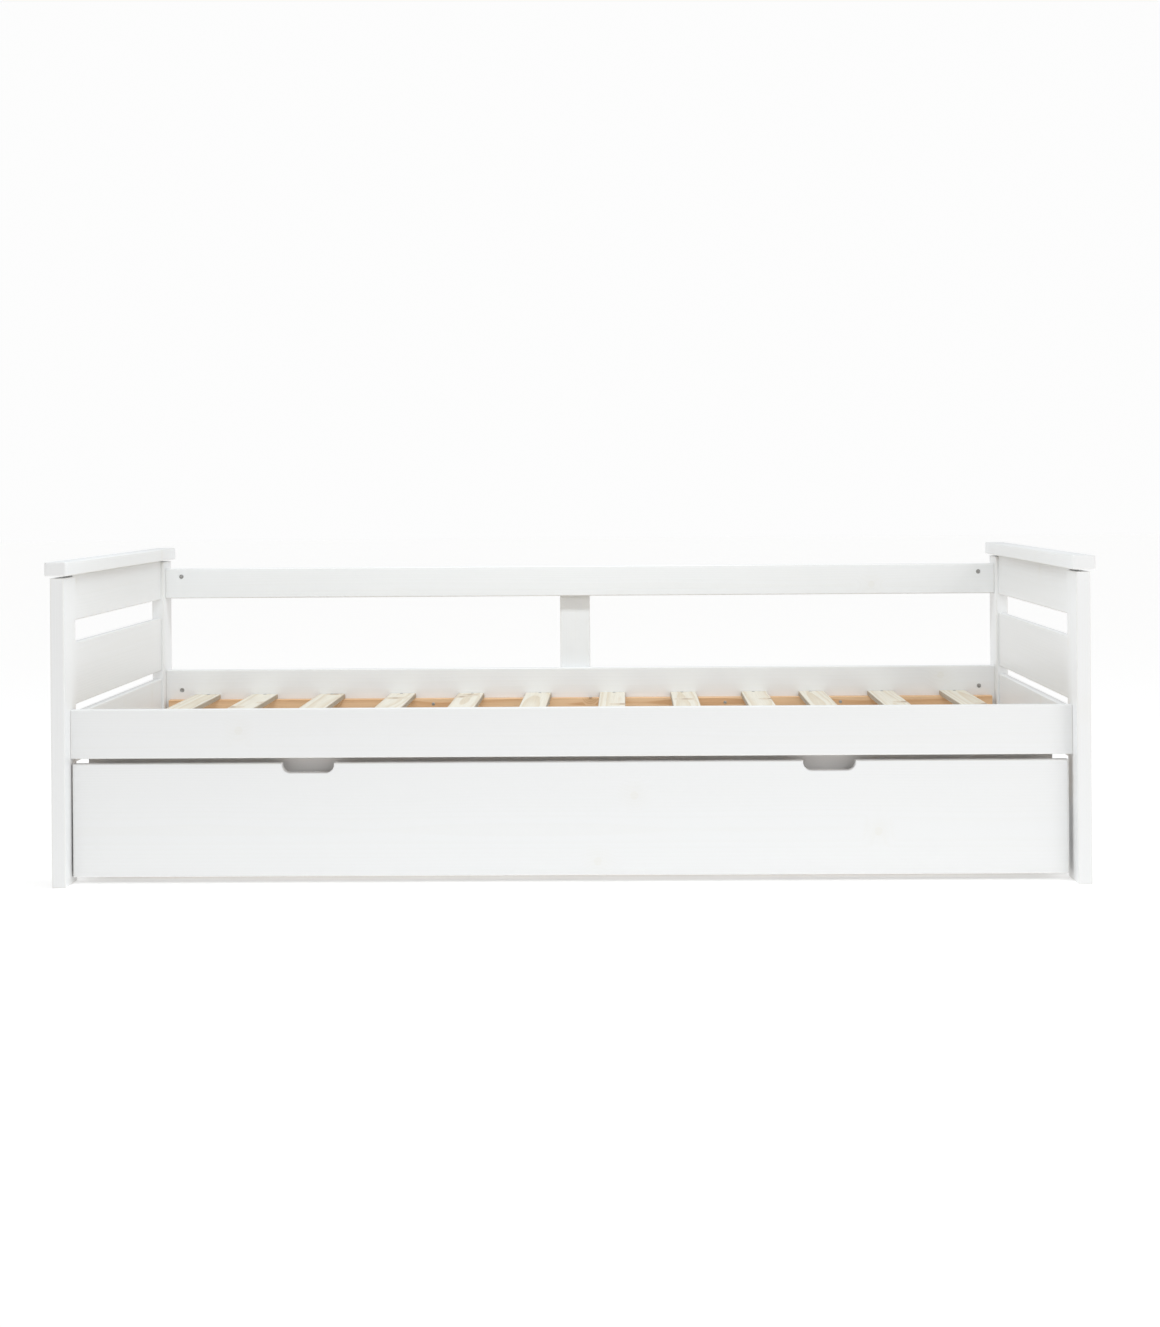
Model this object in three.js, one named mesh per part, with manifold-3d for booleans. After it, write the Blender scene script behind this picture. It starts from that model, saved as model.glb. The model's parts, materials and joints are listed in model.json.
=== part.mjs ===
import * as THREE from "three";
import { mergeVertices } from "three/addons/utils/BufferGeometryUtils.js";
import Module from "manifold-3d";

// Trundle bed: a white lacquered pine day bed with a second bed base that rolls out from under it.
// Millimetres, +Z up, +X along the bed, front at -Y. The origin is on the floor under the middle of the bed.

// ---- Driving dimensions ----

const innerLength = 1940; // clear length between the bed ends, for a 1900 mattress
const innerWidth = 905; // clear width between the long rails, for a 900 mattress
const seam = 0.3; // hairline left where two pieces meet
const easing = 2.5; // edge radius of the lacquered boards
const rawEasing = 1.5; // edge radius of the raw pine

const endHeight = 600; // from the floor to the top of the end boards, which carry the cap
const post = { thickness: 27, width: 95, shortOf: 4 }; // shortOf: open joint left between post and cap
const cap = { thickness: 27, overhang: 9, corner: 6 };
const rail = { thickness: 22, height: 95, bottom: 243, recess: 46, backLift: 4 }; // backLift: back over front
const topRail = { height: 70, drop: 20, boltDrop: 39 }; // both drops are measured down from endHeight
const upright = { width: 70, thickness: 20, shortOf: 6, middle: -9 }; // shortOf: kept off the rails' edges
const endBoard = { thickness: 18, recess: 6, top: 91, middle: 122, lower: 95 };
const endSlot = { upper: 44, lower: 19 };
const tenon = { length: 15, thickness: 9, shoulder: 12 };

const ledger = { size: 24, endGap: 10 };
const slat = { width: 60, thickness: 11, top: 284.5, toEnd: 99, endGap: 1 }; // toEnd: post to end slat
const slatDrift = [-1, -25, -25, -17, -15, -16, -1, 6, 12, -12, -10, -1]; // slats are fixed a little off even

const connector = { shank: 3, head: 8.5, headThickness: 2.5, socket: 2.3, socketDepth: 1.6 };
const barrel = { radius: 5, length: 14, fromEnd: 37, below: 1, tip: 6 };
const connectorFit = { shank: 0.5, head: 0.5, barrel: 0.3 }; // radial clearances

const front = { thickness: 22, sideGap: 6, railGap: 10, floorGap: 13 };
const notch = { width: 101, depth: 19, radius: 16, fromEnd: 459 };
const trundleMiddle = -3; // the trundle stands a little left of the bed's middle
const base = { thickness: 22, bottom: 20, sideHeight: 120, fingerRoom: 22, belowFrame: 2.5 };
const lowSlat = { count: 9, top: 90, toEnd: 80 };

const wheel = { radius: 25, width: 18, rounding: 3, hub: 9, hubInset: 2.5, bore: 4.4, fromBoard: 80 };
const fork = { sheet: 2, sideGap: 2, topGap: 4, width: 34, axle: 4, tab: 34 }; // tab: for its two screws

// ---- Sizes that follow from them ----

const innerHalf = innerLength / 2;
const depth = innerWidth + 2 * (rail.thickness + rail.recess);
const halfDepth = depth / 2;
const railFace = halfDepth - rail.recess; // outer face of the long rails, front and back
const railInner = railFace - rail.thickness;
const boardLength = depth - 2 * post.width;
const postMiddle = { x: innerHalf + post.thickness / 2, y: halfDepth - post.width / 2 };
const boardMiddleX = innerHalf + endBoard.recess + endBoard.thickness / 2;
const postHeight = endHeight - post.shortOf;
const boardBottom = {
  top: endHeight - endBoard.top,
  middle: endHeight - endBoard.top - endSlot.upper - endBoard.middle,
};
boardBottom.lower = boardBottom.middle - endSlot.lower - endBoard.lower;
const backRailBottom = rail.bottom + rail.backLift;
const topRailBottom = endHeight - topRail.drop - topRail.height;
const connectorHeights = {
  front: rail.bottom + rail.height / 2,
  back: backRailBottom + rail.height / 2,
  top: endHeight - topRail.boltDrop,
};
const frontHalf = innerHalf - front.sideGap;
const frontTop = rail.bottom - front.railGap;
const baseInnerHalf = frontHalf - base.thickness;
const baseFront = -railInner + base.fingerRoom; // front face of the rail inside the trundle
const baseBack = halfDepth; // back face of the trundle
const forkWidth = wheel.width + 2 * (fork.sideGap + fork.sheet);

// ---- Materials ----

const lacquer = new THREE.MeshStandardMaterial({ color: 0xebe9e4, roughness: 0.45, metalness: 0 });
const pine = new THREE.MeshStandardMaterial({ color: 0xe3bd8d, roughness: 0.7, metalness: 0 });
const steel = new THREE.MeshStandardMaterial({ color: 0xb9b9b6, roughness: 0.35, metalness: 1 });
const wheelPlastic = new THREE.MeshStandardMaterial({ color: 0x4a4a4a, roughness: 0.55, metalness: 0 });

// ---- Solids ----

const wasm = await Module();
wasm.setup();

function solidOf(geometry) {
  const bare = geometry.clone();
  bare.deleteAttribute("normal");
  bare.deleteAttribute("uv");
  const merged = mergeVertices(bare, 1e-3);
  const vertProperties = merged.attributes.position.array;
  const triVerts = new Uint32Array(merged.index.array);
  return new wasm.Manifold(new wasm.Mesh({ numProp: 3, vertProperties, triVerts }));
}

function geometryOf(solid) {
  const { vertProperties, triVerts } = solid.getMesh();
  const geometry = new THREE.BufferGeometry();
  geometry.setAttribute("position", new THREE.BufferAttribute(vertProperties, 3));
  geometry.setIndex(new THREE.BufferAttribute(triVerts, 1));
  const faceted = geometry.toNonIndexed();
  faceted.computeVertexNormals();
  return faceted;
}

function cut(geometry, tools) {
  return geometryOf(tools.reduce((left, tool) => left.subtract(solidOf(tool)), solidOf(geometry)));
}

function join(geometries) {
  return geometryOf(geometries.map(solidOf).reduce((whole, piece) => whole.add(piece)));
}

function roundedRectangle(width, height, radius) {
  const x = width / 2 - radius;
  const y = height / 2 - radius;
  const shape = new THREE.Shape();
  shape.absarc(x, -y, radius, -Math.PI / 2, 0);
  shape.absarc(x, y, radius, 0, Math.PI / 2);
  shape.absarc(-x, y, radius, Math.PI / 2, Math.PI);
  shape.absarc(-x, -y, radius, Math.PI, 1.5 * Math.PI);
  return shape;
}

// A board or batten of one section along its whole length, square cut, centred on the origin.
function batten(axis, length, width, height, radius) {
  const options = { depth: length, bevelEnabled: false, curveSegments: 2 };
  const geometry = new THREE.ExtrudeGeometry(roundedRectangle(width, height, radius), options);
  geometry.translate(0, 0, -length / 2);
  if (axis === "x") geometry.rotateX(Math.PI / 2).rotateZ(Math.PI / 2);
  if (axis === "y") geometry.rotateX(Math.PI / 2);
  return geometry;
}

// A flat piece cut to an outline, all its edges eased, centred on its thickness.
function panel(outline, thickness, radius) {
  const options = {
    depth: thickness - 2 * radius,
    bevelThickness: radius,
    bevelSize: radius,
    bevelOffset: -radius,
    bevelSegments: 3,
    curveSegments: 3,
  };
  return new THREE.ExtrudeGeometry(outline, options).translate(0, 0, radius - thickness / 2);
}

function cylinder(axis, radius, length, sides = 16) {
  const geometry = new THREE.CylinderGeometry(radius, radius, length, sides);
  if (axis === "x") geometry.rotateZ(Math.PI / 2);
  if (axis === "z") geometry.rotateX(Math.PI / 2);
  return geometry;
}

function addMesh(group, name, geometry, material, x, y, z) {
  const mesh = new THREE.Mesh(geometry, material);
  mesh.name = name;
  mesh.position.set(x, y, z);
  group.add(mesh);
}

const ends = [
  { name: "left", side: -1 },
  { name: "right", side: 1 },
];
const faces = [
  { name: "front", side: -1 },
  { name: "back", side: 1 },
];
const endBoards = [
  { name: "top", bottom: boardBottom.top, height: endBoard.top - seam },
  { name: "middle", bottom: boardBottom.middle, height: endBoard.middle },
  { name: "lower", bottom: boardBottom.lower, height: endBoard.lower },
];

// ---- Bed ends ----

function mortise(board, end, face) {
  const geometry = new THREE.BoxGeometry(
    tenon.thickness + 2 * seam,
    2 * (tenon.length + seam),
    board.height - 2 * tenon.shoulder + 2 * seam,
  );
  const x = boardMiddleX - postMiddle.x;
  const z = board.bottom + board.height / 2 - postHeight / 2;
  return geometry.translate(end.side * x, (-face.side * post.width) / 2, z);
}

// The way for a connector bolt through a post, with the seat of its head on the outer side.
function boltHole(end, face, height) {
  const y = face.side * (railFace - rail.thickness / 2 - postMiddle.y);
  const z = height - postHeight / 2;
  const seatDepth = connector.headThickness + seam;
  const hole = cylinder("x", connector.shank + connectorFit.shank, 2 * post.thickness);
  const seat = cylinder("x", connector.head + connectorFit.head, 2 * seatDepth);
  seat.translate((end.side * post.thickness) / 2, 0, 0);
  return [hole.translate(0, y, z), seat.translate(0, y, z)];
}

function makePost(end, face) {
  const blank = batten("z", postHeight, post.thickness, post.width, easing);
  const { front: low, back: lowBack, top } = connectorHeights;
  const heights = face.name === "back" ? [lowBack, top] : [low];
  const tools = endBoards.map((board) => mortise(board, end, face));
  heights.forEach((height) => tools.push(...boltHole(end, face, height)));
  return cut(blank, tools);
}

function makeEndBoard(board) {
  const length = boardLength - 2 * seam;
  const body = batten("y", length, endBoard.thickness, board.height, easing);
  const tongue = new THREE.BoxGeometry(
    tenon.thickness,
    boardLength + 2 * (tenon.length - seam),
    board.height - 2 * tenon.shoulder,
  );
  return join([body, tongue]);
}

function addEnd(group, end) {
  for (const face of faces) {
    const name = `post_${face.name}_${end.name}`;
    const [x, y] = [end.side * postMiddle.x, face.side * postMiddle.y];
    addMesh(group, name, makePost(end, face), lacquer, x, y, postHeight / 2);
  }
  for (const board of endBoards) {
    const name = `end_board_${board.name}_${end.name}`;
    const z = board.bottom + board.height / 2;
    addMesh(group, name, makeEndBoard(board), lacquer, end.side * boardMiddleX, 0, z);
  }
  const width = post.thickness + 2 * cap.overhang;
  const outline = roundedRectangle(width, depth + 2 * cap.overhang, cap.corner);
  const geometry = panel(outline, cap.thickness, easing);
  const z = endHeight + seam + cap.thickness / 2;
  addMesh(group, `end_cap_${end.name}`, geometry, lacquer, end.side * postMiddle.x, 0, z);
}

// ---- Long rails, ledgers and slats ----

// A long rail on the front (side -1) or back (side 1), bored at both ends for its connectors.
function makeRail(side, height, boltHeight) {
  const length = innerLength - 2 * seam;
  const tools = [];
  for (const end of ends) {
    const reach = barrel.fromEnd + barrel.tip + connectorFit.shank;
    const bore = cylinder("x", connector.shank + connectorFit.shank, 2 * reach);
    tools.push(bore.translate((end.side * innerLength) / 2, 0, boltHeight));
    const pocketDepth = barrel.length + barrel.below + connectorFit.barrel;
    const pocket = cylinder("y", barrel.radius + connectorFit.barrel, 2 * pocketDepth);
    const x = end.side * (innerHalf - barrel.fromEnd);
    tools.push(pocket.translate(x, (-side * rail.thickness) / 2, boltHeight));
  }
  return cut(batten("x", length, rail.thickness, height, easing), tools);
}

// A flat-headed connector bolt with the barrel nut that it is screwed into.
function makeConnector(end, side) {
  const headAt = innerHalf + post.thickness - connector.headThickness / 2;
  const nutAt = innerHalf - barrel.fromEnd;
  const tipAt = nutAt - barrel.tip;
  const shank = cylinder("x", connector.shank, headAt - tipAt);
  shank.translate((end.side * (headAt + tipAt)) / 2, 0, 0);
  const head = cylinder("x", connector.head, connector.headThickness, 24);
  head.translate(end.side * headAt, 0, 0);
  const nut = cylinder("y", barrel.radius, barrel.length);
  const nutY = -side * (rail.thickness / 2 - barrel.below - barrel.length / 2);
  nut.translate(end.side * nutAt, nutY, 0);
  const key = cylinder("x", connector.socket, 2 * connector.socketDepth, 6);
  key.translate(end.side * (innerHalf + post.thickness), 0, 0);
  return cut(join([shank, head, nut]), [key]);
}

// A long rail in place with the connectors at its two ends, which carry the name of their height.
function addRail(group, name, side, bottom, height, connectorName) {
  const y = side * (railFace - rail.thickness / 2);
  const z = bottom + height / 2;
  const boltZ = connectorHeights[connectorName];
  addMesh(group, name, makeRail(side, height, boltZ - z), lacquer, 0, y, z);
  for (const end of ends) {
    addMesh(group, `connector_${connectorName}_${end.name}`, makeConnector(end, side), steel, 0, y, boltZ);
  }
}

function addRails(group) {
  addRail(group, "front_rail", -1, rail.bottom, rail.height, "front");
  addRail(group, "back_rail", 1, backRailBottom, rail.height, "back");
  addRail(group, "back_top_rail", 1, topRailBottom, topRail.height, "top");
  const bottom = backRailBottom + upright.shortOf;
  const top = topRailBottom + topRail.height - upright.shortOf;
  const geometry = batten("z", top - bottom, upright.width, upright.thickness, easing);
  const y = railFace + seam + upright.thickness / 2;
  addMesh(group, "back_upright", geometry, lacquer, upright.middle, y, (top + bottom) / 2);
}

// The lengthwise middles of a row of slats at even spacing.
function slatPlaces(count, firstMiddle) {
  const pitch = (2 * firstMiddle) / (count - 1);
  return Array.from({ length: count }, (_, index) => index * pitch - firstMiddle);
}

function addSlatBase(group) {
  const ledgerTop = slat.top - slat.thickness - seam;
  for (const face of faces) {
    const geometry = batten("x", innerLength - 2 * ledger.endGap, ledger.size, ledger.size, rawEasing);
    const y = face.side * (railInner - seam - ledger.size / 2);
    addMesh(group, `ledger_${face.name}`, geometry, pine, 0, y, ledgerTop - ledger.size / 2);
  }
  const length = 2 * (railInner - slat.endGap);
  slatPlaces(slatDrift.length, innerHalf - slat.toEnd).forEach((x, index) => {
    const geometry = batten("y", length, slat.width, slat.thickness, rawEasing);
    const name = `slat_${String(index + 1).padStart(2, "0")}`;
    addMesh(group, name, geometry, pine, x + slatDrift[index], 0, slat.top - slat.thickness / 2);
  });
}

// ---- Trundle ----

// The trundle's front in its own plane: a wide board with two finger notches in its top edge.
function frontOutline() {
  const halfHeight = (frontTop - front.floorGap) / 2;
  const floor = halfHeight - notch.depth;
  const half = notch.width / 2;
  const shape = new THREE.Shape();
  shape.moveTo(-frontHalf, halfHeight);
  shape.lineTo(-frontHalf, -halfHeight);
  shape.lineTo(frontHalf, -halfHeight);
  shape.lineTo(frontHalf, halfHeight);
  for (const side of [1, -1]) {
    const right = side * (frontHalf - notch.fromEnd) + half;
    const left = right - notch.width;
    const turn = notch.radius;
    shape.lineTo(right, halfHeight);
    shape.absarc(right - turn, floor + turn, turn, 0, -Math.PI / 2, true);
    shape.absarc(left + turn, floor + turn, turn, -Math.PI / 2, Math.PI, true);
    shape.lineTo(left, halfHeight);
  }
  return shape;
}

function addTrundleBoards(group) {
  const face = panel(frontOutline(), front.thickness, easing).rotateX(Math.PI / 2);
  const faceY = -railFace + front.thickness / 2;
  addMesh(group, "trundle_front", face, lacquer, 0, faceY, (frontTop + front.floorGap) / 2);

  const innerHeight = rail.bottom - base.belowFrame - base.bottom;
  const cross = 2 * (baseInnerHalf - seam);
  const inner = batten("x", cross, base.thickness, innerHeight, easing);
  const innerY = baseFront + base.thickness / 2;
  addMesh(group, "trundle_inner_rail", inner, lacquer, 0, innerY, base.bottom + innerHeight / 2);

  const middleZ = base.bottom + base.sideHeight / 2;
  const back = batten("x", cross, base.thickness, base.sideHeight, easing);
  addMesh(group, "trundle_back", back, lacquer, 0, baseBack - base.thickness / 2, middleZ);

  const sideFront = -railFace + front.thickness + seam;
  for (const end of ends) {
    const geometry = batten("y", baseBack - sideFront, base.thickness, base.sideHeight, easing);
    const x = end.side * (frontHalf - base.thickness / 2);
    addMesh(group, `trundle_side_${end.name}`, geometry, lacquer, x, (baseBack + sideFront) / 2, middleZ);
  }
}

function addTrundleSlats(group) {
  const innerFace = { front: baseFront + base.thickness, back: baseBack - base.thickness };
  const ledgerTop = lowSlat.top - slat.thickness - seam;
  for (const face of faces) {
    const geometry = batten("x", 2 * (baseInnerHalf - ledger.endGap), ledger.size, ledger.size, rawEasing);
    const y = innerFace[face.name] - face.side * (seam + ledger.size / 2);
    addMesh(group, `trundle_ledger_${face.name}`, geometry, pine, 0, y, ledgerTop - ledger.size / 2);
  }
  const length = innerFace.back - innerFace.front - 2 * slat.endGap;
  const middleY = (innerFace.back + innerFace.front) / 2;
  slatPlaces(lowSlat.count, baseInnerHalf - lowSlat.toEnd).forEach((x, index) => {
    const geometry = batten("y", length, slat.width, slat.thickness, rawEasing);
    addMesh(group, `trundle_slat_${index + 1}`, geometry, pine, x, middleY, lowSlat.top - slat.thickness / 2);
  });
}

// A roller with rounded tread edges and a sunk web round its hub, turning on X.
function makeWheel() {
  const half = wheel.width / 2;
  const web = half - wheel.hubInset;
  const rim = wheel.radius - wheel.rounding;
  const profile = new THREE.Path();
  profile.moveTo(wheel.bore, -half);
  profile.lineTo(wheel.hub, -half);
  profile.lineTo(wheel.hub + wheel.hubInset, -web);
  profile.lineTo(rim - 2 * wheel.hubInset, -web);
  profile.lineTo(rim - wheel.hubInset, -half);
  profile.lineTo(rim, -half);
  profile.absarc(rim, wheel.rounding - half, wheel.rounding, -Math.PI / 2, 0);
  profile.absarc(rim, half - wheel.rounding, wheel.rounding, 0, Math.PI / 2);
  profile.lineTo(rim - wheel.hubInset, half);
  profile.lineTo(rim - 2 * wheel.hubInset, web);
  profile.lineTo(wheel.hub + wheel.hubInset, web);
  profile.lineTo(wheel.hub, half);
  profile.lineTo(wheel.bore, half);
  profile.closePath();
  return new THREE.LatheGeometry(profile.getPoints(1), 28).rotateZ(Math.PI / 2);
}

// One cheek of a fork, flat on X, round at the bottom about the axle.
function makeCheek(top) {
  const half = fork.width / 2;
  const shape = new THREE.Shape();
  shape.moveTo(half, top);
  shape.lineTo(-half, top);
  shape.absarc(0, 0, half, Math.PI, 2 * Math.PI);
  shape.closePath();
  const options = { depth: fork.sheet, bevelEnabled: false, curveSegments: 6 };
  const geometry = new THREE.ExtrudeGeometry(shape, options).translate(0, 0, -fork.sheet / 2);
  return geometry.rotateX(Math.PI / 2).rotateZ(Math.PI / 2);
}

// A bent steel fork over the wheel, with its axle riveted in; the outer cheek runs up into the tab
// that screws to the side board. The origin is on the axle.
function makeFork(end) {
  const top = wheel.radius + fork.topGap + fork.sheet;
  const cheekX = (forkWidth - fork.sheet) / 2;
  const web = new THREE.BoxGeometry(forkWidth, fork.width, fork.sheet);
  const axle = cylinder("x", fork.axle, forkWidth);
  return join([
    makeCheek(top).translate(-end.side * cheekX, 0, 0),
    makeCheek(top + fork.tab).translate(end.side * cheekX, 0, 0),
    web.translate(0, 0, top - fork.sheet / 2),
    axle,
  ]);
}

function addWheels(group) {
  const places = {
    front: baseFront + base.thickness + wheel.fromBoard,
    back: baseBack - base.thickness - wheel.fromBoard,
  };
  for (const face of faces) {
    for (const end of ends) {
      const x = end.side * (baseInnerHalf - seam - forkWidth / 2);
      const name = `${face.name}_${end.name}`;
      addMesh(group, `wheel_fork_${name}`, makeFork(end), steel, x, places[face.name], wheel.radius);
      addMesh(group, `wheel_${name}`, makeWheel(), wheelPlastic, x, places[face.name], wheel.radius);
    }
  }
}

// ---- The bed ----

const bed = new THREE.Group();
const frame = new THREE.Group();
const trundle = new THREE.Group();
bed.add(frame, trundle);
trundle.position.x = trundleMiddle;

ends.forEach((end) => addEnd(frame, end));
addRails(frame);
addSlatBase(frame);
addTrundleBoards(trundle);
addTrundleSlats(trundle);
addWheels(trundle);

export default bed;
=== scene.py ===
import json
import math
import random

import bpy
from mathutils import Euler, Matrix, Vector


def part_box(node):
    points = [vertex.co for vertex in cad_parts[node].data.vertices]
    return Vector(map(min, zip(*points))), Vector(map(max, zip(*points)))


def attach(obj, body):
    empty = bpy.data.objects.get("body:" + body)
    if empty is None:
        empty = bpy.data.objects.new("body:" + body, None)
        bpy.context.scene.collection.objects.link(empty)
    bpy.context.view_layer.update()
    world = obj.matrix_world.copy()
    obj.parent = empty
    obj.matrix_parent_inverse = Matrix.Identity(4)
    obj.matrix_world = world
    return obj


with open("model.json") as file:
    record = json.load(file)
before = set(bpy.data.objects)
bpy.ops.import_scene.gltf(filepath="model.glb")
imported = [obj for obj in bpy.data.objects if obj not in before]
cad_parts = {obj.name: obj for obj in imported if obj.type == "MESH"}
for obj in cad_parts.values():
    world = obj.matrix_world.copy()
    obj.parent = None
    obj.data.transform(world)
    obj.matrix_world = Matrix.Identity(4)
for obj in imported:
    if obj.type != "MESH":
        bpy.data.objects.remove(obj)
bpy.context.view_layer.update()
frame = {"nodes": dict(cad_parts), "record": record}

nodes = frame["nodes"]
print("frame loaded:", len(nodes), "nodes")


# Shader maths

class Wire:  # a shader socket that can be used in sums
    def __init__(self, finish, socket):
        self.finish = finish
        self.socket = socket

    def math(self, operation, first, second=0.0):
        return self.finish.node("ShaderNodeMath", {"operation": operation}, {0: first, 1: second})

    def __add__(self, other):
        return self.math("ADD", self, other)

    def __radd__(self, other):
        return self.math("ADD", other, self)

    def __sub__(self, other):
        return self.math("SUBTRACT", self, other)

    def __rsub__(self, other):
        return self.math("SUBTRACT", other, self)

    def __mul__(self, other):
        return self.math("MULTIPLY", self, other)

    def __truediv__(self, other):
        return self.math("DIVIDE", self, other)

    def __pow__(self, other):
        return self.math("POWER", self, other)

    def __abs__(self):
        return self.math("ABSOLUTE", self)

    def fraction(self):
        return self.math("FRACT", self)

    def most(self, other):
        return self.math("MAXIMUM", self, other)


class Finish:  # a material while its nodes are being laid out
    def __init__(self, name):
        self.material = bpy.data.materials.new(name)
        self.material.use_nodes = True
        self.tree = self.material.node_tree
        self.tree.nodes.clear()

    def node(self, kind, settings=None, inputs=None, output=0):
        made = self.tree.nodes.new(kind)
        for name, value in (settings or {}).items():
            if name == "stops":
                self.setStops(made.color_ramp, value)
            else:
                setattr(made, name, value)
        for name, value in (inputs or {}).items():
            if isinstance(value, Wire):
                self.tree.links.new(value.socket, made.inputs[name])
            else:
                made.inputs[name].default_value = value
        return Wire(self, made.outputs[output])

    def setStops(self, ramp, stops):
        while len(ramp.elements) < len(stops):
            ramp.elements.new(1.0)
        for element, (position, colour) in zip(ramp.elements, stops):
            element.position = position
            element.color = colour

    def coordinates(self):  # the three object coordinates, in metres
        place = self.node("ShaderNodeTexCoord", output="Object")
        return [self.node("ShaderNodeSeparateXYZ", None, {0: place}, axis) for axis in range(3)]

    def vector(self, x, y, z):
        return self.node("ShaderNodeCombineXYZ", None, {0: x, 1: y, 2: z})

    def noise(self, vector, scale=1.0, detail=2.0, roughness=0.5):
        inputs = {"Vector": vector, "Scale": scale, "Detail": detail, "Roughness": roughness}
        return self.node("ShaderNodeTexNoise", None, inputs)

    def ease(self, value, low, high, start=0.0, end=1.0):  # a smooth step from low to high
        settings = {"interpolation_type": "SMOOTHSTEP"}
        return self.node("ShaderNodeMapRange", settings, {0: value, 1: low, 2: high, 3: start, 4: end})

    def mix(self, share, first, second, mode="MIX"):
        settings = {"data_type": "RGBA", "blend_type": mode, "clamp_factor": True}
        return self.node("ShaderNodeMix", settings, {0: share, 6: first, 7: second}, 2)

    def bump(self, height, strength, distance):
        inputs = {"Height": height, "Strength": strength, "Distance": distance}
        return self.node("ShaderNodeBump", None, inputs)

    def close(self, inputs):  # the surface shader and the output
        surface = self.node("ShaderNodeBsdfPrincipled", None, inputs)
        output = self.tree.nodes.new("ShaderNodeOutputMaterial")
        self.tree.links.new(surface.socket, output.inputs["Surface"])
        return self.material


def rgb(red, green, blue):
    return (red, green, blue, 1.0)


# Timber

timberLook = {  # what all the boards share
    "offset": 40, "warpAcross": 5, "raggedScale": 160, "ragged": 0.003, "knotCore": 0.75, "halo": 4.5,
    "pithShare": 0.5, "pithDepth": (0.03, 0.09), "warpDeep": 0.6, "lateFrom": 0.35, "lateTo": 0.93,
    "fibreAlong": 9, "fibreAcross": 520, "streakAlong": 1.6, "streakAcross": 60, "edgeCore": 0.25,
    "patchAlong": 2.2, "patchAcross": 6,
}


def woodField(finish, board, look):
    # the growth rings, fibres and knots of one board, in its own directions, and masks for its edges (lacquer
    # wear, painted highlight on raw pine) and narrow sides (painted shade)
    shared = timberLook
    low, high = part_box(board["node"])
    middle, half = (low + high) / 2, (high - low) / 2
    along = "XYZ".index(board["axis"])
    rest = sorted((axis for axis in range(3) if axis != along), key=lambda axis: -half[axis])
    order = [along, rest[0], rest[1]]
    places = finish.coordinates()
    length, across, through = [places[axis] - middle[axis] for axis in order]
    luck = random.Random(board["seed"])
    offset = [luck.uniform(-shared["offset"], shared["offset"]) for _ in range(3)]

    def stretched(alongScale, acrossScale, shift=0.0):  # a point for noise drawn out along the board
        wide, thick = across * acrossScale, through * acrossScale
        return finish.vector(length * alongScale + shift, wide, thick)

    warpAlong = length * look["warpAlong"] + offset[0]
    warpAcross = across * shared["warpAcross"] + offset[1]
    warpPlace = finish.vector(warpAlong, warpAcross, through * shared["warpAcross"])
    warp = finish.noise(warpPlace, 1.0, 2.0) - 0.5

    knotPlace = finish.vector(length + offset[1], across + offset[2], 0.0)
    knotSettings = {"voronoi_dimensions": "2D", "feature": "F1"}
    knotInputs = {"Vector": knotPlace, "Scale": look["knotScale"], "Randomness": 1.0}
    knotAway = finish.node("ShaderNodeTexVoronoi", knotSettings, knotInputs) / look["knotScale"]
    ragged = finish.noise(stretched(shared["raggedScale"], shared["raggedScale"]), 1.0, 2.0) - 0.5
    knotAway = knotAway + ragged * shared["ragged"]
    knot = 1.0 - finish.ease(knotAway, look["knotRadius"] * shared["knotCore"], look["knotRadius"])
    halo = 1.0 - finish.ease(knotAway, look["knotRadius"], look["knotRadius"] * shared["halo"])

    pithAcross = luck.uniform(-shared["pithShare"], shared["pithShare"]) * half[order[1]]
    pithDepth = luck.uniform(*shared["pithDepth"])
    side = across - pithAcross + warp * look["warp"]
    deep = through + pithDepth + warp * look["warp"] * shared["warpDeep"]
    radius = (side * side + deep * deep) ** 0.5 + halo * look["swirl"]
    ring = (radius / look["ringPitch"]).fraction()
    late = finish.ease(ring, shared["lateFrom"], shared["lateTo"])
    late = late * (1.0 - finish.ease(ring, shared["lateTo"], 1.0))

    fibre = finish.noise(stretched(shared["fibreAlong"], shared["fibreAcross"], offset[2]), 1.0, 3.0, 0.6)
    streak = finish.noise(stretched(shared["streakAlong"], shared["streakAcross"], offset[0]), 1.0, 2.0)

    edgeWidth = look["edgeWidth"]
    nearEdge = [
        finish.ease(abs(place), extent - edgeWidth, extent - edgeWidth * shared["edgeCore"])
        for place, extent in zip((length, across, through), (half[axis] for axis in order))
    ]
    edge = (nearEdge[0] * nearEdge[1]).most(nearEdge[1] * nearEdge[2]).most(nearEdge[0] * nearEdge[2])
    patch = finish.noise(stretched(shared["patchAlong"], shared["patchAcross"], offset[1]), 1.0, 3.0)
    return {
        "late": late, "fibre": fibre, "streak": streak, "knot": knot, "halo": halo, "edge": edge,
        "side": nearEdge[1], "patch": patch, "place": finish.vector(length, across, through),
    }


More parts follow.
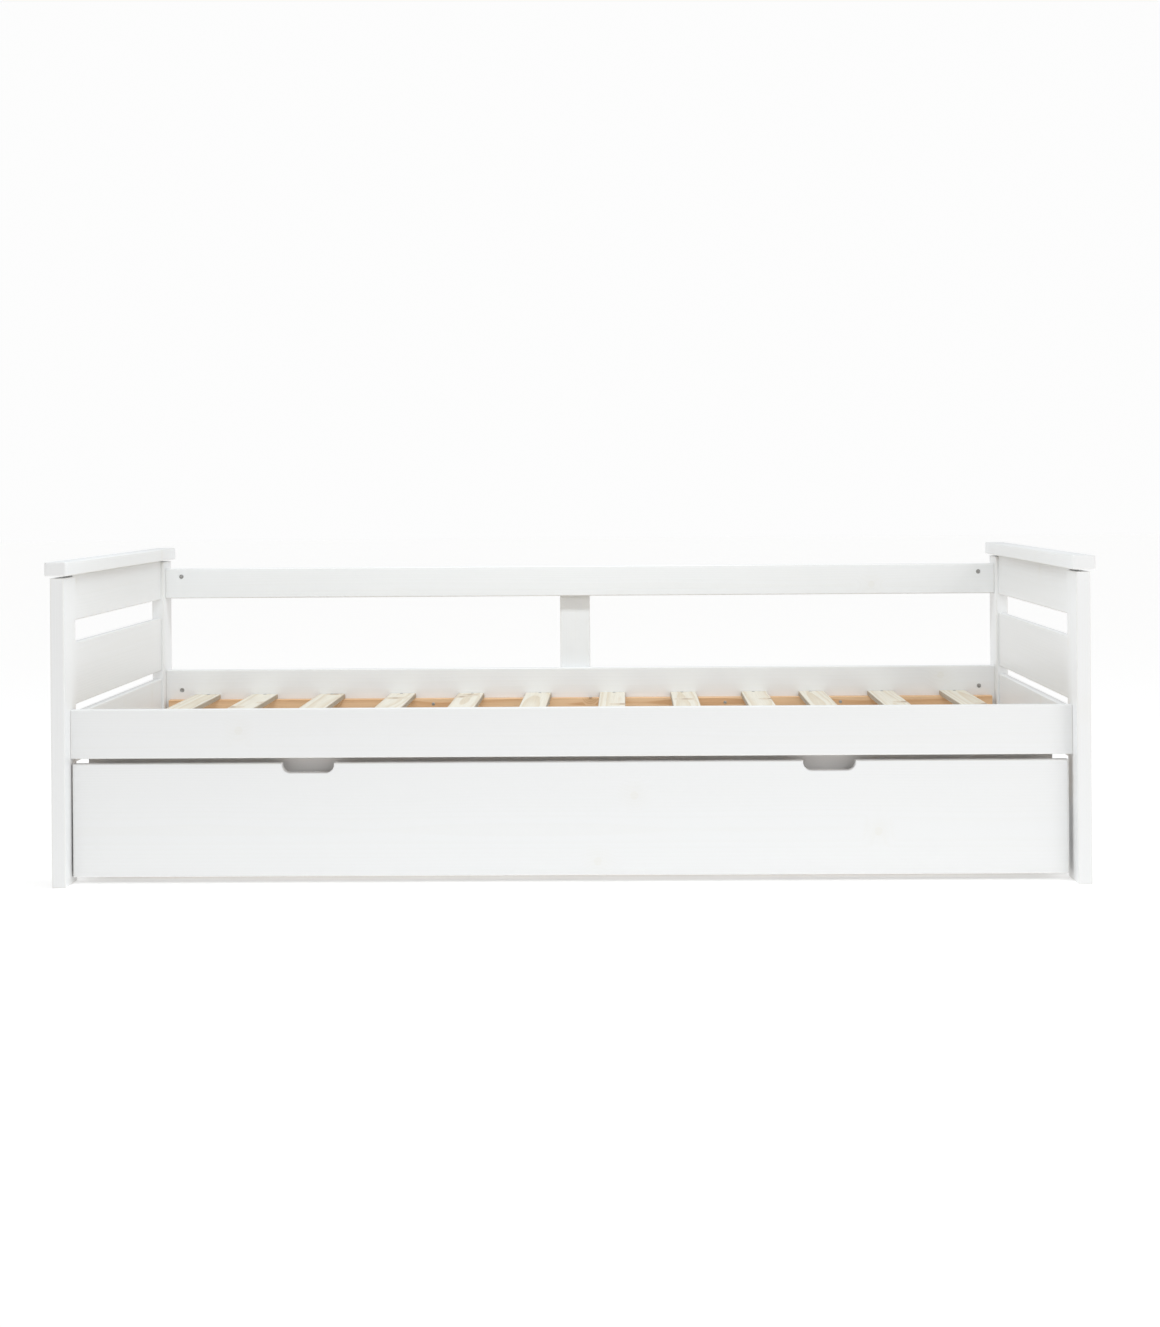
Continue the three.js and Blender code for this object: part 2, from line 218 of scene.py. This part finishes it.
lacquerLook = {
    "white": rgb(0.838, 0.838, 0.835),
    "warm": rgb(0.805, 0.792, 0.755),  # where the grain or a knot shows through
    "thin": rgb(0.80, 0.788, 0.752),  # thin paint on the edges
    "warpAlong": 1.1, "warp": 0.016, "ringPitch": 0.0042, "swirl": 0.007,
    "knotScale": 2.6, "knotRadius": 0.009, "edgeWidth": 0.0035,
    "grey": rgb(0.74, 0.74, 0.735),  # faint cloudy patches
    "lateShows": 0.14, "streakShows": 0.10, "haloShows": 0.22, "knotShows": 0.40,
    "worn": (0.35, 0.7, 0.25, 0.8), "clouded": (0.3, 0.75, 0.0, 0.05),  # eases: low, high, start, end
    "roughness": 0.36, "roughnessSpread": 0.14, "fibreRough": 0.05, "coat": 0.12, "coatRoughness": 0.22,
    "lateHeight": 0.45, "fibreHeight": 0.5, "peelHeight": 0.18, "knotSunk": 0.3, "peelScale": 420.0,
    "bumpStrength": 0.32, "bumpDistance": 0.0004,
}


def whiteLacquer(board):
    look = lacquerLook
    finish = Finish("whiteLacquer_" + board["node"])
    wood = woodField(finish, board, look)
    showing = wood["late"] * look["lateShows"] + wood["streak"] * look["streakShows"]
    showing = showing + wood["halo"] * look["haloShows"] + wood["knot"] * look["knotShows"]
    colour = finish.mix(showing, look["white"], look["warm"])
    worn = wood["edge"] * finish.ease(wood["patch"], *look["worn"])
    colour = finish.mix(worn, colour, look["thin"])
    colour = finish.mix(finish.ease(wood["patch"], *look["clouded"]), colour, look["grey"])
    peel = finish.noise(wood["place"], look["peelScale"], 2.0, 0.5)
    height = wood["late"] * look["lateHeight"] + wood["fibre"] * look["fibreHeight"]
    height = height + peel * look["peelHeight"] - wood["knot"] * look["knotSunk"]
    roughness = look["roughness"] + (wood["streak"] - 0.5) * look["roughnessSpread"]
    roughness = roughness + wood["fibre"] * look["fibreRough"]
    return finish.close({
        "Base Color": colour,
        "Roughness": roughness,
        "Coat Weight": look["coat"],
        "Coat Roughness": look["coatRoughness"],
        "Normal": finish.bump(height, look["bumpStrength"], look["bumpDistance"]),
    })


slatLook = {
    "early": rgb(0.775, 0.725, 0.62), "lateWood": rgb(0.66, 0.555, 0.405),
    "knotDark": rgb(0.24, 0.12, 0.05), "knotRim": rgb(0.45, 0.27, 0.12),
    "warpAlong": 1.6, "warp": 0.022, "ringPitch": 0.0050, "swirl": 0.009,
    "knotScale": 4.2, "knotRadius": 0.0075, "edgeWidth": 0.002,
    "streaked": (0.45, 0.8, 0.0, 0.25), "tone": (0.25, 0.75, 0.93, 1.05),  # eases: low, high, start, end
    "lateShare": 0.75, "haloShare": 0.35, "knotShare": 0.9, "edgeHighlight": 0.3,
    "lateHeight": 0.5, "fibreHeight": 0.6, "knotHeight": 0.4,
    "roughness": 0.62, "fibreRough": 0.12, "knotSmooth": 0.2, "lateSmooth": 0.08,
    "bumpStrength": 0.55, "bumpDistance": 0.0005,
    "sideShade": 0.7, "sideShadeColour": rgb(0.30, 0.215, 0.13),  # painted shade on the narrow sides
}
ledgerLook = dict(
    slatLook, early=rgb(0.80, 0.53, 0.31), lateWood=rgb(0.62, 0.34, 0.16), knotRadius=0.005, ringPitch=0.0036,
    sideShade=0.0,
)


def rawPine(board, look):
    finish = Finish("rawPine_" + board["node"])
    wood = woodField(finish, board, look)
    colour = finish.mix(wood["late"] * look["lateShare"], look["early"], look["lateWood"])
    colour = finish.mix(finish.ease(wood["streak"], *look["streaked"]), colour, look["lateWood"])
    tone = finish.ease(wood["fibre"], *look["tone"])
    colour = finish.mix(1.0, colour, finish.vector(tone, tone, tone), "MULTIPLY")
    colour = finish.mix(wood["halo"] * look["haloShare"], colour, look["knotRim"])
    colour = finish.mix(wood["knot"] * look["knotShare"], colour, look["knotDark"])
    # the narrow sides are darkened here as painted shade
    colour = finish.mix(wood["side"] * look["sideShade"], colour, look["sideShadeColour"])
    # lighter along the arrises: a painted highlight
    colour = finish.mix(wood["edge"] * look["edgeHighlight"], colour, look["early"])
    height = wood["late"] * look["lateHeight"] + wood["fibre"] * look["fibreHeight"]
    height = height + wood["knot"] * look["knotHeight"]
    roughness = look["roughness"] + wood["fibre"] * look["fibreRough"] - wood["knot"] * look["knotSmooth"]
    roughness = roughness - wood["late"] * look["lateSmooth"]
    return finish.close({
        "Base Color": colour,
        "Roughness": roughness,
        "Normal": finish.bump(height, look["bumpStrength"], look["bumpDistance"]),
    })


# Metal and plastic

zincLook = {
    "bright": rgb(0.64, 0.64, 0.63), "dull": rgb(0.52, 0.52, 0.52), "stain": rgb(0.44, 0.42, 0.38),
    "dulled": (0.35, 0.65), "stained": (0.55, 0.8, 0.0, 0.22), "scratched": (0.5, 0.8, 0.0, 0.1),
    "spangle": 420.0, "stainScale": 60.0, "scratchAcross": 2600, "scratchAlong": 90,
    "roughness": 0.34, "cloudRough": 0.15, "cloudHeight": 0.5, "scratchHeight": 0.5,
    "bumpStrength": 0.25, "bumpDistance": 0.0002,
}


def zincSteel(name, bright=None):
    look = zincLook
    finish = Finish(name)
    x, y, z = finish.coordinates()
    place = finish.vector(x, y, z)
    cloud = finish.noise(place, look["spangle"], 3.0, 0.6)
    across, along = look["scratchAcross"], look["scratchAlong"]
    scratch = finish.noise(finish.vector(x * across, y * along, z * across), 1.0, 2.0)
    colour = finish.mix(finish.ease(cloud, *look["dulled"]), bright or look["bright"], look["dull"])
    stain = finish.noise(place, look["stainScale"], 2.0)
    colour = finish.mix(finish.ease(stain, *look["stained"]), colour, look["stain"])
    height = cloud * look["cloudHeight"] + scratch * look["scratchHeight"]
    roughness = look["roughness"] + cloud * look["cloudRough"]
    return finish.close({
        "Base Color": colour,
        "Metallic": 1.0,
        "Roughness": roughness + finish.ease(scratch, *look["scratched"]),
        "Normal": finish.bump(height, look["bumpStrength"], look["bumpDistance"]),
    })


wheelLook = {
    "plastic": rgb(0.055, 0.056, 0.06), "scuff": rgb(0.21, 0.20, 0.19),
    "roughness": 0.48, "scuffRough": 0.3, "gritRough": 0.06, "treadWidth": 0.0045, "treadCore": 0.4,
    "gritScale": 900.0, "dustScale": 140.0, "scuffs": (0.35, 0.65, 0.2, 0.85),
    "gritHeight": 0.5, "bumpStrength": 0.4, "bumpDistance": 0.0002,
}


def wheelPlastic(node):
    look = wheelLook
    low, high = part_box(node)
    middle, radius = (low + high) / 2, (high.z - low.z) / 2
    finish = Finish("wheelPlastic_" + node)
    x, y, z = [place - middle[axis] for axis, place in enumerate(finish.coordinates())]
    away = (y * y + z * z) ** 0.5
    tread = finish.ease(away, radius - look["treadWidth"], radius - look["treadWidth"] * look["treadCore"])
    grit = finish.noise(finish.vector(x, y, z), look["gritScale"], 2.0)
    dust = finish.noise(finish.vector(x, y, z), look["dustScale"], 3.0)
    scuffed = tread * finish.ease(dust, *look["scuffs"])
    colour = finish.mix(scuffed, look["plastic"], look["scuff"])
    height = grit * look["gritHeight"] + tread * dust
    return finish.close({
        "Base Color": colour,
        "Roughness": look["roughness"] + scuffed * look["scuffRough"] + grit * look["gritRough"],
        "Normal": finish.bump(height, look["bumpStrength"], look["bumpDistance"]),
    })


# The boards' materials

def grainAxis(node):
    low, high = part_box(node)
    size = high - low
    return "XYZ"[max(range(3), key=lambda axis: size[axis])]


boardLook = {"firstSeed": 11, "connectorBright": rgb(0.30, 0.29, 0.27)}


def paintNodes():
    slots = {part["node"]: part["material_slot"] for part in frame["record"]["subparts"]}
    steel = zincSteel("zincSteel")
    connectorSteel = zincSteel("connectorSteel", boardLook["connectorBright"])
    for seed, name in enumerate(sorted(nodes), boardLook["firstSeed"]):
        board = {"node": name, "axis": grainAxis(name), "seed": seed}
        if slots[name] == "white_lacquer":
            material = whiteLacquer(board)
        elif slots[name] == "raw_pine":
            material = rawPine(board, slatLook if "slat" in name else ledgerLook)
        elif slots[name] == "wheel_plastic":
            material = wheelPlastic(name)
        else:
            material = connectorSteel if name.startswith("connector") else steel
        piece = nodes[name]
        if not piece.material_slots:
            piece.data.materials.append(material)
        for slot in piece.material_slots:
            slot.material = material


paintNodes()
print("nodes painted")


# Screws

screwLook = {
    "radius": 0.0037, "proud": 0.0009, "buried": 0.0015, "rim": 0.0007, "sides": 40,
    "flatShare": 0.45, "steps": (0.35, 0.20),  # shares of the raised height
    "recessDepth": 0.0006, "recessArm": 0.0024, "recessWidth": 0.00075, "recessTaper": 0.72,
    "edge": 0.00012, "bevelAngle": math.radians(20), "smoothAngle": math.radians(25),
    "panScale": (1.15, 1.15, 2.4), "bright": rgb(0.36, 0.35, 0.33), "seed": 5,
}
screwPlaces = {
    "slatDriftX": 0.004, "slatDriftY": 0.002, "ledgerSpots": (0.072, 0.340, 0.608, 0.876),
    "uprightSide": 0.018, "forkSheet": 0.002, "forkLifts": (0.010, 0.026),
}


def selectOnly(piece):
    bpy.ops.object.select_all(action="DESELECT")
    piece.select_set(True)
    bpy.context.view_layer.objects.active = piece


def applyModifier(piece, kind, settings):
    selectOnly(piece)
    modifier = piece.modifiers.new("shape", kind)
    for name, value in settings.items():
        setattr(modifier, name, value)
    bpy.ops.object.modifier_apply(modifier=modifier.name)


def editFaces(piece, wanted):  # edit mode with the faces picked whose number and normal suit
    selectOnly(piece)
    bpy.ops.object.mode_set(mode="EDIT")
    bpy.ops.mesh.select_all(action="DESELECT")
    bpy.ops.object.mode_set(mode="OBJECT")
    for face in piece.data.polygons:
        face.select = wanted(face)
    bpy.ops.object.mode_set(mode="EDIT")


def makeRecessArm(turn):  # one arm of the tool that sinks the cross into a head
    look = screwLook
    bpy.ops.object.select_all(action="DESELECT")
    bpy.ops.mesh.primitive_cube_add(size=1, location=(0, 0, look["proud"]), rotation=(0, 0, turn))
    arm = bpy.context.object
    arm.scale = (2 * look["recessArm"], 2 * look["recessWidth"], 2 * look["recessDepth"])
    bpy.ops.object.transform_apply(location=True, rotation=True, scale=True)
    editFaces(arm, lambda face: face.normal.z < -0.5)
    taper = look["recessTaper"]
    bpy.ops.transform.resize(value=(taper, taper, 1), center_override=(0, 0, look["proud"]))
    bpy.ops.object.mode_set(mode="OBJECT")
    return arm


def makeScrewHead():  # a raised round head with a cross recess, its seat at the origin
    look = screwLook
    bpy.ops.object.select_all(action="DESELECT")
    height = look["buried"] + look["proud"] * look["flatShare"]
    bpy.ops.mesh.primitive_cylinder_add(
        vertices=look["sides"], radius=look["radius"], depth=height,
        location=(0, 0, height / 2 - look["buried"]),
    )
    head = bpy.context.object
    bpy.ops.object.transform_apply(location=True)
    for share in look["steps"]:
        editFaces(head, lambda face: face.normal.z > 0.9 and len(face.vertices) > 4)
        bpy.ops.mesh.inset(thickness=look["rim"])
        bpy.ops.transform.translate(value=(0, 0, look["proud"] * share))
        bpy.ops.object.mode_set(mode="OBJECT")
    applyModifier(head, "BEVEL", {"width": look["edge"], "segments": 2, "angle_limit": look["bevelAngle"]})
    for turn in (0.0, math.pi / 2):
        arm = makeRecessArm(turn)
        applyModifier(head, "BOOLEAN", {"operation": "DIFFERENCE", "object": arm, "solver": "EXACT"})
        bpy.data.objects.remove(arm)
    selectOnly(head)
    bpy.ops.object.shade_smooth_by_angle(angle=look["smoothAngle"])
    return head


def setScrews(head, name, body, places):
    # each place: a point, the way the head faces, its turn and its scale
    copies = []
    for point, facing, turn, scale in places:
        copy = head.copy()
        copy.data = head.data.copy()
        bpy.context.scene.collection.objects.link(copy)
        tilt = Vector(facing).to_track_quat("Z", "Y").to_matrix().to_4x4()
        size = Matrix.Diagonal((*scale, 1.0))
        copy.data.transform(Matrix.Translation(point) @ tilt @ Matrix.Rotation(turn, 4, "Z") @ size)
        copies.append(copy)
    bpy.ops.object.select_all(action="DESELECT")
    for copy in copies:
        copy.select_set(True)
    bpy.context.view_layer.objects.active = copies[0]
    bpy.ops.object.join()
    screws = bpy.context.object
    screws.name = name
    screws.data.materials.clear()
    screws.data.materials.append(screwSteel)
    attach(screws, body)


def slatScrews(prefix, ledgers, luck):  # one screw at each end of each slat, over the middle of the ledger
    driftX, driftY = screwPlaces["slatDriftX"], screwPlaces["slatDriftY"]
    places = []
    for name in sorted(nodes):
        if not name.startswith(prefix):
            continue
        low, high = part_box(name)
        for ledger in ledgers:
            first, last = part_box(ledger)
            point = (
                (low.x + high.x) / 2 + luck.uniform(-driftX, driftX),
                (first.y + last.y) / 2 + luck.uniform(-driftY, driftY),
                high.z,
            )
            places.append((point, (0, 0, 1), luck.uniform(0, math.pi), (1, 1, 1)))
    return places


def ledgerScrews(ledgers, luck):  # a row along each ledger's inner face
    spots = [side * spot for spot in screwPlaces["ledgerSpots"] for side in (-1, 1)]
    places = []
    for ledger in ledgers:
        low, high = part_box(ledger)
        inward = -1 if low.y > 0 else 1
        face = low.y if inward < 0 else high.y
        for spot in spots:
            point = (spot, face, (low.z + high.z) / 2)
            places.append((point, (0, inward, 0), luck.uniform(0, math.pi), (1, 1, 1)))
    return places


def uprightScrews(luck):  # two into each back rail
    low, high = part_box("back_upright")
    places = []
    for railName in ("back_rail", "back_top_rail"):
        first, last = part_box(railName)
        for side in (-1, 1):
            across = (low.x + high.x) / 2 + side * screwPlaces["uprightSide"]
            point = (across, high.y, (first.z + last.z) / 2)
            places.append((point, (0, 1, 0), luck.uniform(0, math.pi), (1, 1, 1)))
    return places


def forkScrews(luck):  # two through the tab of each wheel fork
    places = []
    for name in sorted(nodes):
        if not name.startswith("wheel_fork"):
            continue
        low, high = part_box(name)
        outward = 1 if low.x > 0 else -1
        face = (high.x if outward > 0 else low.x) - outward * screwPlaces["forkSheet"]
        for lift in screwPlaces["forkLifts"]:
            point = (face, (low.y + high.y) / 2, high.z - lift)
            places.append((point, (-outward, 0, 0), luck.uniform(0, math.pi), screwLook["panScale"]))
    return places


screwSteel = zincSteel("screwSteel", screwLook["bright"])
screwHead = makeScrewHead()
screwLuck = random.Random(screwLook["seed"])
bedLedgers = ("ledger_front", "ledger_back")
trundleLedgers = ("trundle_ledger_front", "trundle_ledger_back")
setScrews(screwHead, "slatScrews", "bed_frame", slatScrews("slat_", bedLedgers, screwLuck))
setScrews(screwHead, "ledgerScrews", "bed_frame", ledgerScrews(bedLedgers, screwLuck))
setScrews(screwHead, "uprightScrews", "bed_frame", uprightScrews(screwLuck))
setScrews(screwHead, "trundleSlatScrews", "trundle", slatScrews("trundle_slat_", trundleLedgers, screwLuck))
setScrews(screwHead, "trundleLedgerScrews", "trundle", ledgerScrews(trundleLedgers, screwLuck))
setScrews(screwHead, "forkScrews", "trundle", forkScrews(screwLuck))
bpy.data.objects.remove(screwHead)
print("screws set")


# Stage, light and camera

stageLook = {
    "size": 60.0, "drop": 0.0004, "colour": rgb(0.93, 0.93, 0.925), "cloudColour": rgb(0.90, 0.90, 0.895),
    "cloudScale": 3.0, "cloudShare": 0.3, "roughness": 0.75,
    "glow": 0.35, "underBed": (0.94, 0.34), "glowFade": 0.08,  # the floor glows as painted light to look white, and the glow is left off under the bed as painted shade
    "skyLight": 0.67, "skySeen": 0.98,
}
lamps = [
    {
        "name": "keyLamp", "place": (2.1, -3.7, 1.93), "aim": (0.5, -0.2, 0.4),
        "size": (0.4, 0.4), "power": 10, "colour": (1.0, 1.0, 1.0),
    },
    {
        "name": "sideLamp", "place": (2.3, -2.4, 1.4), "aim": (0.9, -0.5, 0.3),
        "size": (0.8, 0.8), "power": 6, "colour": (0.97, 0.98, 1.0),
    },
    {
        "name": "overLamp", "place": (-0.1, -0.42, 1.95), "aim": (-0.1, 0.45, 0.40),
        "size": (1.8, 0.2), "power": 21, "colour": (0.86, 0.94, 1.0),
    },
]
cameraLook = {
    "place": (0.1134, -4.8902, 0.7630), "yaw": -0.0202, "roll": -0.0075,
    "lens": 61.9243, "sensor": 36.0, "shift": -0.132404, "farthest": 200,
}


def makeFloor():
    bpy.ops.object.select_all(action="DESELECT")
    bpy.ops.mesh.primitive_plane_add(size=stageLook["size"], location=(0, 0, -stageLook["drop"]))
    floor = bpy.context.object
    floor.name = "floor"
    finish = Finish("paleFloor")
    x, y, z = finish.coordinates()
    cloud = finish.noise(finish.vector(x, y, z), stageLook["cloudScale"], 3.0)
    colour = finish.mix(cloud * stageLook["cloudShare"], stageLook["colour"], stageLook["cloudColour"])
    # painted light: the floor glows to stay white, and the glow fades out under the bed, a painted shade
    # under it
    clearX, clearY = stageLook["underBed"]
    fade = stageLook["glowFade"]
    clear = finish.ease(abs(x), clearX, clearX + fade).most(finish.ease(abs(y), clearY, clearY + fade))
    floor.data.materials.append(finish.close({
        "Base Color": colour,
        "Roughness": stageLook["roughness"],
        "Emission Color": finish.mix(clear, rgb(0.0, 0.0, 0.0), rgb(1.0, 1.0, 1.0)),
        "Emission Strength": stageLook["glow"],
    }))


def makeWorld():  # the sky that lights the bed, and a white one behind it
    world = bpy.data.worlds.new("studio")
    bpy.context.scene.world = world
    world.use_nodes = True
    tree = world.node_tree
    light = tree.nodes["Background"]
    light.inputs["Color"].default_value = rgb(1.0, 1.0, 1.0)
    light.inputs["Strength"].default_value = stageLook["skyLight"]
    seen = tree.nodes.new("ShaderNodeBackground")
    seen.inputs["Color"].default_value = rgb(1.0, 1.0, 1.0)
    seen.inputs["Strength"].default_value = stageLook["skySeen"]
    ray = tree.nodes.new("ShaderNodeLightPath")
    either = tree.nodes.new("ShaderNodeMixShader")
    tree.links.new(ray.outputs["Is Camera Ray"], either.inputs[0])
    tree.links.new(light.outputs[0], either.inputs[1])
    tree.links.new(seen.outputs[0], either.inputs[2])
    tree.links.new(either.outputs[0], tree.nodes["World Output"].inputs["Surface"])


def makeLamp(lamp):
    data = bpy.data.lights.new(lamp["name"], "AREA")
    data.shape = "RECTANGLE"
    data.size, data.size_y = lamp["size"]
    data.energy = lamp["power"]
    data.color = lamp["colour"]
    made = bpy.data.objects.new(lamp["name"], data)
    bpy.context.scene.collection.objects.link(made)
    made.location = lamp["place"]
    towards = Vector(lamp["aim"]) - Vector(lamp["place"])
    made.rotation_euler = towards.to_track_quat("-Z", "Y").to_euler()


def makeCamera():
    look = cameraLook
    data = bpy.data.cameras.new("camera")
    camera = bpy.data.objects.new("camera", data)
    bpy.context.scene.collection.objects.link(camera)
    level = Euler((math.pi / 2, 0, -look["yaw"])).to_matrix()
    turned = level @ Matrix.Rotation(look["roll"], 3, "Z")
    camera.matrix_world = Matrix.Translation(look["place"]) @ turned.to_4x4()
    data.sensor_width = look["sensor"]
    data.lens = look["lens"]
    data.shift_y = look["shift"]
    data.clip_end = look["farthest"]
    bpy.context.scene.camera = camera


makeFloor()
makeWorld()
for lamp in lamps:
    makeLamp(lamp)
makeCamera()
bpy.context.scene.view_settings.view_transform = "Standard"
print("stage ready")
